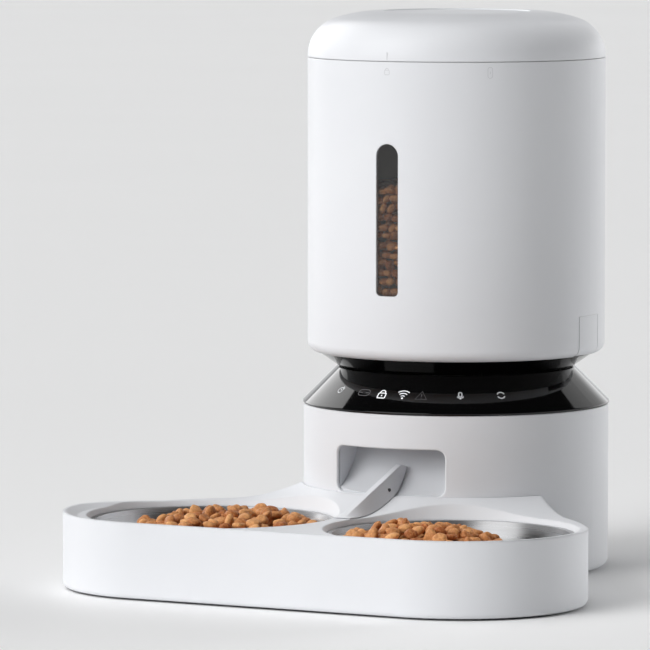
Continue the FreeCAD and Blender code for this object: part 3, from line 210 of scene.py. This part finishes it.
WHITE_DARK = (0.80, 0.812, 0.84)
WHITE_LIGHT = (0.83, 0.842, 0.868)
FINISHES = {
    "white_shell": moulded("white_shell", WHITE_DARK, WHITE_LIGHT, 0.36, 0.00002, 0.0008),
    "chute_plastic": moulded("chute_plastic", (0.69, 0.705, 0.735), (0.73, 0.745, 0.77), 0.46, 0.00003),
    "gloss_black": gloss_black(),
    "smoke_window": smoked_glass(),
    "foot_rubber": moulded("foot_rubber", (0.022, 0.022, 0.024), (0.035, 0.035, 0.037), 0.75, 0.00006),
    "soft_silicone": moulded("soft_silicone", (0.52, 0.54, 0.56), (0.60, 0.62, 0.64), 0.55, 0.00003),
    "rotor_plastic": moulded("rotor_plastic", (0.58, 0.59, 0.61), (0.63, 0.64, 0.66), 0.42, 0.00003),
    "gear_acetal": moulded("gear_acetal", (0.68, 0.66, 0.58), (0.74, 0.72, 0.64), 0.38, 0.00002),
    "shaft_steel": metal("shaft_steel", (0.60, 0.60, 0.61), 0.25, (60, 60, 900)),
    "screw_steel": metal("screw_steel", (0.50, 0.51, 0.53), 0.32, (500, 500, 60)),
    "motor_can": metal("motor_can", (0.55, 0.56, 0.57), 0.3, (60, 60, 700)),
    "contact_metal": metal("contact_metal", (0.72, 0.70, 0.64), 0.22, (400, 60, 400)),
    "board_green": moulded("board_green", (0.012, 0.09, 0.03), (0.02, 0.13, 0.045), 0.3, 0.00002),
    "chip_black": moulded("chip_black", (0.012, 0.012, 0.013), (0.02, 0.02, 0.021), 0.5, 0.00003),
    "cell_jacket": metal("cell_jacket", (0.22, 0.23, 0.25), 0.35, (60, 700, 60)),
    "inner_plastic": moulded("inner_plastic", (0.035, 0.035, 0.037), (0.05, 0.05, 0.052), 0.5, 0.00004),
    "speaker_paper": moulded("speaker_paper", (0.02, 0.02, 0.02), (0.035, 0.034, 0.033), 0.85, 0.00008),
}

# duller than the other shells; the tray also has wider moulded roundings
TRAY_FINISHES = {
    "bowl_tray": moulded("tray_shell", WHITE_DARK, WHITE_LIGHT, 0.56, 0.00002, 0.0022),
    "splitter": moulded("splitter_shell", WHITE_DARK, WHITE_LIGHT, 0.56, 0.00002, 0.0008),
}


def dress(thing, material):
    thing.data.materials.clear()
    thing.data.materials.append(material)


for part in frame["record"]["subparts"]:
    node = frame["nodes"][part["node"]]
    if part["material_slot"] == "bowl_steel":
        node.material_slots[0].material = spun_steel("steel_" + part["node"], bowl_centre(part["node"]))
    elif part["node"] in TRAY_FINISHES:
        node.material_slots[0].material = TRAY_FINISHES[part["node"]]
    else:
        node.material_slots[0].material = FINISHES[part["material_slot"]]


def new_piece(name, mesh, material, body):
    """A piece made here that moves with a body."""
    made = bpy.data.objects.new(name, mesh)
    bpy.context.scene.collection.objects.link(made)
    dress(made, material)
    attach(made, body)


# ---------------------------------------------------------------- kibble

KIBBLE = kibble_finish()
KIBBLE_RADIUS = 0.0047
KIBBLE_SPACING = 0.0075


def add_kibble(build, tone_layer, place, chance, rings, radius):
    """One pressed biscuit at a random tilt: a thick button, dimpled and pinched at one end."""
    turn = Matrix.Rotation(chance.uniform(0, math.tau), 4, "Z")
    tilt = Matrix.Rotation(chance.gauss(0, 0.8), 4, "X")
    spin = Matrix.Rotation(chance.uniform(0, math.tau), 4, "Z")
    size = radius * chance.uniform(0.88, 1.08)
    thick = chance.uniform(0.5, 0.7)
    pinch = chance.uniform(0.0, 0.42)
    dimple = chance.uniform(0.0, 0.35)
    tone = min(1, max(0, chance.gauss(0.5, 0.3)))
    offset = Vector([chance.uniform(0, 50) for _ in range(3)])
    made = bmesh.ops.create_icosphere(build, subdivisions=rings, radius=1)
    for vert in made["verts"]:
        way = vert.co.copy()
        bulge = 1 + 0.16 * noise.noise(way * 1.3 + offset) + 0.05 * noise.noise(way * 4 + offset)
        hollow = 1 - dimple * math.exp(-5 * (way.x**2 + way.y**2))
        flat = Vector((way.x * (1 - pinch * max(0, way.y)), way.y, way.z * thick * hollow))
        vert.co = place + (turn @ tilt @ spin) @ (flat * bulge * size)
        vert[tone_layer] = tone + 0.12 * noise.noise(way * 2 + offset)


def kibble_mesh(name, places, chance, rings, radius=KIBBLE_RADIUS):
    """One mesh of many pieces of food."""
    build = bmesh.new()
    tone_layer = build.verts.layers.float.new("tone")
    for place in places:
        add_kibble(build, tone_layer, place, chance, rings, radius)
    mesh = bpy.data.meshes.new(name)
    for face in build.faces:
        face.smooth = True
    build.to_mesh(mesh)
    build.free()
    return mesh


def pour(chance, tries, pick, floor, ceiling):
    """Drop pieces one by one.

    Each lands on the floor or on the pieces before it, and stays if it is low enough.
    """
    cells = {}
    placed = []
    for _ in range(tries):
        x, y = pick()
        height = floor(x, y)
        if height is None:
            continue
        cell = (int(x // KIBBLE_SPACING), int(y // KIBBLE_SPACING))
        for dx in (-1, 0, 1):
            for dy in (-1, 0, 1):
                for other in cells.get((cell[0] + dx, cell[1] + dy), ()):
                    apart = (x - other.x) ** 2 + (y - other.y) ** 2
                    if apart < KIBBLE_SPACING**2:
                        height = max(height, other.z + math.sqrt(KIBBLE_SPACING**2 - apart))
        if height <= ceiling(x, y):
            spot = Vector((x, y, height))
            placed.append(spot)
            cells.setdefault(cell, []).append(spot)
    return placed


# a bowl's inside: a flat floor, then a hollow curve, then the wall
BOWL_FLAT = 0.048
BOWL_FLOOR = 0.011
BOWL_CURVE = 0.042
CURVE_REACH = 0.0316
CURVE_HEIGHT = 0.0497
BOWL_WALL = 0.0735
# a heap of food: clear of the wall, and made only as deep as it can be seen
HEAP_MARGIN = 0.0065
HEAP_SKIN = 0.016
HEAP_ROUNDING = 2.4
TOP_LAYER = 0.004
RESTING = 0.0036
TRIES_PER_BOWL = 22000


def bowl_inside(reach):
    """Height of a bowl's inner surface above the studio floor, at a distance from its axis."""
    if reach < BOWL_FLAT:
        return BOWL_FLOOR
    return CURVE_HEIGHT - math.sqrt(max(0, BOWL_CURVE**2 - (reach - CURVE_REACH) ** 2))


def fill_bowl(name, shift, reach, top, drop):
    """A heap in a bowl: shift moves its middle from the bowl's, and it falls by drop at its edge.

    Only the pieces in the heap's skin are made.
    """
    chance = random.Random(SEED + len(name))
    centre = bowl_centre(name)
    middle = centre + shift

    def pick():
        angle = chance.uniform(0, math.tau)
        far = reach * math.sqrt(chance.random())
        return middle.x + far * math.cos(angle), middle.y + far * math.sin(angle)

    def floor(x, y):
        out = math.hypot(x - centre.x, y - centre.y)
        if out > BOWL_WALL - HEAP_MARGIN:
            return None
        return bowl_inside(out + 0.002) + RESTING

    def ceiling(x, y):
        share = math.hypot(x - middle.x, y - middle.y) / reach
        wave = noise.noise(Vector((x, y, SEED)) * 60)
        return top - TOP_LAYER - drop * share**HEAP_ROUNDING + 0.0022 * wave

    places = pour(chance, TRIES_PER_BOWL, pick, floor, ceiling)
    visible = [spot for spot in places if spot.z > ceiling(spot.x, spot.y) - HEAP_SKIN]
    mesh = kibble_mesh("kibble_" + name, visible, chance, 3)
    new_piece("kibble_" + name, mesh, KIBBLE, name)


# the way along the two bowls, as seen in the main view
VIEW_TURN = math.radians(27.3)
RIGHTWARD = Vector((math.cos(VIEW_TURN), math.sin(VIEW_TURN), 0))
fill_bowl("bowl_right", RIGHTWARD * -0.021, 0.054, 0.0508, 0.012)
fill_bowl("bowl_left", RIGHTWARD * 0.012, 0.062, 0.0508, 0.012)


# food in the tank: its level, then the layers pressed against the window
FOOD_LEVEL = 0.246
WINDOW_STEP = 0.0058
WINDOW_KIBBLE = 0.0037
FIRST_LAYER = 0.0036
LAYER_DEPTH = 0.0046
TANK_MARGIN = 0.0052
TRIES_IN_TANK = 5000


def window_places(chance):
    """Two staggered layers of food pressed against the inside of the window."""
    places = []
    for layer in (0, 1):
        radius = TANK_INSIDE - FIRST_LAYER - LAYER_DEPTH * layer
        rows = int((FOOD_LEVEL - window_low.z) / WINDOW_STEP) + 2
        for row in range(rows):
            for column in range(-3, 4):
                stagger = 0.5 * ((row + layer) % 2)
                turn = (column + stagger) * WINDOW_STEP / radius + chance.uniform(-0.012, 0.012)
                height = window_low.z + (row - 0.6) * WINDOW_STEP + chance.uniform(-0.0009, 0.0009)
                places.append(AXIS + Vector((radius * math.sin(turn), -radius * math.cos(turn), height)))
    return places


def fill_tank():
    """The food seen through the window and, with the lid off, its level surface."""
    chance = random.Random(SEED)
    wall = TANK_INSIDE - TANK_MARGIN

    def pick():
        angle = chance.uniform(0, math.tau)
        far = wall * math.sqrt(chance.random())
        return AXIS.x + far * math.cos(angle), AXIS.y + far * math.sin(angle)

    def floor(x, y):
        near_window = abs(x) < window_high.x + 0.012 and y < AXIS.y - wall + 0.014
        return None if near_window else FOOD_LEVEL - HEAP_SKIN

    def ceiling(x, y):
        return FOOD_LEVEL - TOP_LAYER + 0.003 * noise.noise(Vector((x, y, SEED)) * 40)

    places = pour(chance, TRIES_IN_TANK, pick, floor, ceiling)
    new_piece("kibble_tank", kibble_mesh("kibble_tank", places, chance, 2), KIBBLE, "tank")
    pressed = kibble_mesh("kibble_window", window_places(chance), chance, 2, WINDOW_KIBBLE)
    new_piece("kibble_window", pressed, KIBBLE, "tank")


fill_tank()

# ---------------------------------------------------------------- outlines and raised lines


def arc(x, y, radius, start, stop, steps=18):
    """Points along an arc, in millimetres and degrees."""
    turns = [math.radians(start + (stop - start) * step / steps) for step in range(steps + 1)]
    return [(x + radius * math.cos(turn), y + radius * math.sin(turn)) for turn in turns]


def ring(x, y, radius):
    return arc(x, y, radius, 0, 360, 28)


def rounded(x0, y0, x1, y1, radius):
    """A closed rectangle with round corners."""
    corners = ((x1 - radius, y0 + radius, -90), (x1 - radius, y1 - radius, 0),
               (x0 + radius, y1 - radius, 90), (x0 + radius, y0 + radius, 180))
    points = []
    for x, y, start in corners:
        points += arc(x, y, radius, start, start + 90, 5)
    return points + points[:1]


def ribbon(build, points, width, onto, depth):
    """A thin raised line through flat points (millimetres), laid on a surface by onto(u, v, lift)."""
    rows = []
    closed = (Vector(points[0]) - Vector(points[-1])).length < 1e-6
    ahead, behind = (points[1], points[-2]) if closed else (points[-1], points[0])
    befores = [behind] + points[:-1]
    afters = points[1:] + [ahead]
    for before, point, after in zip(befores, points, afters):
        along = (Vector(after) - Vector(before)).normalized()
        side = Vector((-along.y, along.x)) * width / 2
        left = Vector(point) + side
        right = Vector(point) - side
        section = ((left, depth), (right, depth), (right, -depth), (left, -depth))
        rows.append([build.verts.new(onto(*spot, lift)) for spot, lift in section])
    for first, second in zip(rows, rows[1:]):
        for corner in range(4):
            following = (corner + 1) % 4
            build.faces.new((first[corner], second[corner], second[following], first[following]))
    build.faces.new(rows[0])
    build.faces.new(reversed(rows[-1]))


def on_cone(angle, height):
    """Places flat points on the control ring's slope, about a point at an angle from the front."""
    radius = (CONE_SUM - height) / MM
    lean = math.sqrt(0.5)

    def onto(u, v, lift):
        turn = math.radians(angle) + u / radius
        out = (radius + lean * (lift - v)) * MM
        return AXIS + Vector((out * math.sin(turn), -out * math.cos(turn), height + lean * (v + lift) * MM))
    return onto


def on_wall(angle, height, radius):
    """Places flat points on an upright round wall."""
    def onto(u, v, lift):
        turn = math.radians(angle) + u * MM / radius
        out = radius + lift * MM
        return AXIS + Vector((out * math.sin(turn), -out * math.cos(turn), height + v * MM))
    return onto


def marks(name, strokes, onto, width, material, body, depth=0.05):
    """One pictogram or mark: its strokes as raised lines on a surface."""
    build = bmesh.new()
    for stroke in strokes:
        ribbon(build, stroke, width, onto, depth)
    bmesh.ops.recalc_face_normals(build, faces=build.faces)
    mesh = bpy.data.meshes.new(name)
    build.to_mesh(mesh)
    build.free()
    new_piece(name, mesh, material, body)


# ---------------------------------------------------------------- the pictograms and marks themselves

BRIGHT = glowing("icon_bright", (0.86, 0.88, 0.9), 0.55)
SOFT = glowing("icon_soft", (0.62, 0.64, 0.66), 0.28)
DIM = glowing("icon_dim", (0.12, 0.12, 0.125), 0.05)
ICON_HEIGHT = 0.117
# angle from the front, material, line width and strokes of each pictogram
ICONS = {
    "icon_feed": (-29, SOFT, 0.45, [
        ring(0, 0, 2.2),
        [(0, 0), (0, 1.4)],
        [(0, 0), (1.1, 0)],
        arc(0, 0, 3.1, 20, 75, 6),
    ]),
    "icon_bowl": (-14, DIM, 0.5, [
        rounded(-4.6, -2.4, 4.6, 2.4, 2.3),
        [(-4.2, 0), (-1.2, 0)],
        [(1.2, 0), (4.2, 0)],
    ]),
    "icon_lock": (-4.6, BRIGHT, 0.65, [
        rounded(-2.7, -3.4, 2.7, 0.6, 0.7),
        arc(0, 0.9, 1.9, 180, 0, 12) + [(1.9, 0.6)],
        [(0, -0.8), (0, -2)],
    ]),
    "icon_link": (5, BRIGHT, 0.6, [
        *[arc(0, -2.8, radius, 50, 130, 12) for radius in (2, 4, 6)],
        ring(0, -2.8, 0.35),
    ]),
    "icon_alert": (13, DIM, 0.5, [
        [(-3.6, -3.2), (3.6, -3.2), (0, 3.2), (-3.6, -3.2)],
        [(0, 1), (0, -1.2)],
        [(0, -2), (0, -2.4)],
    ]),
    "icon_voice": (29, SOFT, 0.6, [
        rounded(-1.0, -0.9, 1.0, 2.7, 0.95),
        arc(0, 0.2, 2.1, 200, 340, 12),
        [(0, -1.9), (0, -2.9)],
    ]),
    "icon_loop": (46, SOFT, 0.65, [
        arc(0, 0, 2.4, 20, 160, 12),
        arc(0, 0, 2.4, 200, 340, 12),
    ]),
}
for icon_name, (angle, material, width, strokes) in ICONS.items():
    marks(icon_name, strokes, on_cone(angle, ICON_HEIGHT), width, material, "base")

# the moulded marks on the lid and tank are thin grey sheets on the surface, not cut grooves: their grey is
# painted shade of the moulded relief
GROOVE_SHADE = moulded("painted_groove_shade", (0.60, 0.61, 0.63), (0.66, 0.67, 0.69), 0.5, 0.00003)
LID_LINE = [[(0, 0.9), (0, 5.6)]]
LOCK_MARK = [rounded(-1.6, -2.6, 1.6, 0.3, 0.5), arc(0, 0.4, 1.1, 180, 0, 8)]
OPEN_MARK = [rounded(-1.5, -3.4, 1.5, 3.4, 1.45), [(0, -0.8), (0, 0.8)]]
SHALLOW = 0.02
lid_wall = on_wall(0, LID_SEAM, TOWER_RADIUS - 0.00002)
marks("mark_lid_line", LID_LINE, lid_wall, 0.5, GROOVE_SHADE, "lid", SHALLOW)
tank_front = on_wall(0, 0.3205, TOWER_RADIUS)
marks("mark_tank_locked", LOCK_MARK, tank_front, 0.35, GROOVE_SHADE, "tank", SHALLOW)
tank_side = on_wall(40, 0.3195, TOWER_RADIUS)
marks("mark_tank_open", OPEN_MARK, tank_side, 0.3, GROOVE_SHADE, "tank", SHALLOW)

# ---------------------------------------------------------------- floor, light and camera


def floor_finish():
    finish = Finish("floor", roughness=0.6)
    clouds = finish.between(finish.noise(1.5, 3), 0, 1)
    finish.colour(clouds, (0.955, 0.957, 0.96), (0.97, 0.972, 0.975))
    return finish.bump(finish.noise(200, 2), 0.00005, 0.3).material


def add_floor():
    """A plain pale floor, far wider than any view."""
    half = 30
    corners = [(-half, -half, 0), (half, -half, 0), (half, half, 0), (-half, half, 0)]
    mesh = bpy.data.meshes.new("studio_floor")
    mesh.from_pydata(corners, [], [(0, 1, 2, 3)])
    floor = bpy.data.objects.new("studio_floor", mesh)
    bpy.context.scene.collection.objects.link(floor)
    dress(floor, floor_finish())


def add_light(name, azimuth, elevation, power, softness, card=False):
    """Broad light from one direction; azimuth is measured from the front towards +X.

    A card is only seen as a reflection; any other light only gives diffuse light.
    """
    data = bpy.data.lights.new(name, "SUN")
    data.energy = power * math.pi
    data.angle = math.radians(softness)
    light = bpy.data.objects.new(name, data)
    light.visible_diffuse = not card
    light.visible_glossy = card
    turn, rise = math.radians(azimuth), math.radians(elevation)
    away = Vector((math.sin(turn) * math.cos(rise), -math.cos(turn) * math.cos(rise), math.sin(rise)))
    light.rotation_euler = (-away).to_track_quat("-Z", "Y").to_euler()
    bpy.context.scene.collection.objects.link(light)


BAND_FULL = 0.12
BAND_END = 0.3


def add_world(fill, horizon):
    """A dim room with a bright band at the horizon that only shows in reflections."""
    world = bpy.data.worlds.new("studio")
    world.use_nodes = True
    tree = world.node_tree
    place = tree.nodes.new("ShaderNodeTexCoord").outputs["Generated"]
    parts = tree.nodes.new("ShaderNodeSeparateXYZ")
    tree.links.new(place, parts.inputs["Vector"])
    band = tree.nodes.new("ShaderNodeMapRange")
    band.inputs["From Min"].default_value = BAND_FULL
    band.inputs["From Max"].default_value = BAND_END
    band.inputs["To Min"].default_value = horizon
    band.inputs["To Max"].default_value = fill
    tree.links.new(parts.outputs["Z"], band.inputs["Value"])
    seen = tree.nodes.new("ShaderNodeMix")
    tree.links.new(tree.nodes.new("ShaderNodeLightPath").outputs["Is Glossy Ray"], seen.inputs["Factor"])
    seen.inputs["A"].default_value = fill
    tree.links.new(band.outputs["Result"], seen.inputs["B"])
    background = tree.nodes["Background"]
    background.inputs["Color"].default_value = (0.97, 0.98, 1.0, 1)
    tree.links.new(seen.outputs["Result"], background.inputs["Strength"])
    bpy.context.scene.world = world


CAMERA_LENS = 342.84
CAMERA_PLACE = (1.8052, -3.4308, 0.4794)
CAMERA_AIM = Vector((-0.47446, 0.87644, -0.08208))


def add_camera():
    data = bpy.data.cameras.new("camera")
    data.lens = CAMERA_LENS
    data.clip_end = 100
    camera = bpy.data.objects.new("camera", data)
    camera.location = CAMERA_PLACE
    camera.rotation_euler = CAMERA_AIM.to_track_quat("-Z", "Y").to_euler()
    bpy.context.scene.collection.objects.link(camera)
    bpy.context.scene.camera = camera


add_floor()
add_light("key", -24, 26, 0.63, 40)
add_light("rim", 152, 12, 0.5, 26)
add_light("top", -64, 66, 0.44, 60)
add_light("card_front", -23, 30, 0.26, 50, card=True)
add_light("card_left", -115, 22, 0.3, 44, card=True)
add_light("card_right", 172, 16, 0.13, 50, card=True)
add_world(0.02, 0.9)
add_camera()
bpy.context.scene.view_settings.view_transform = "Standard"
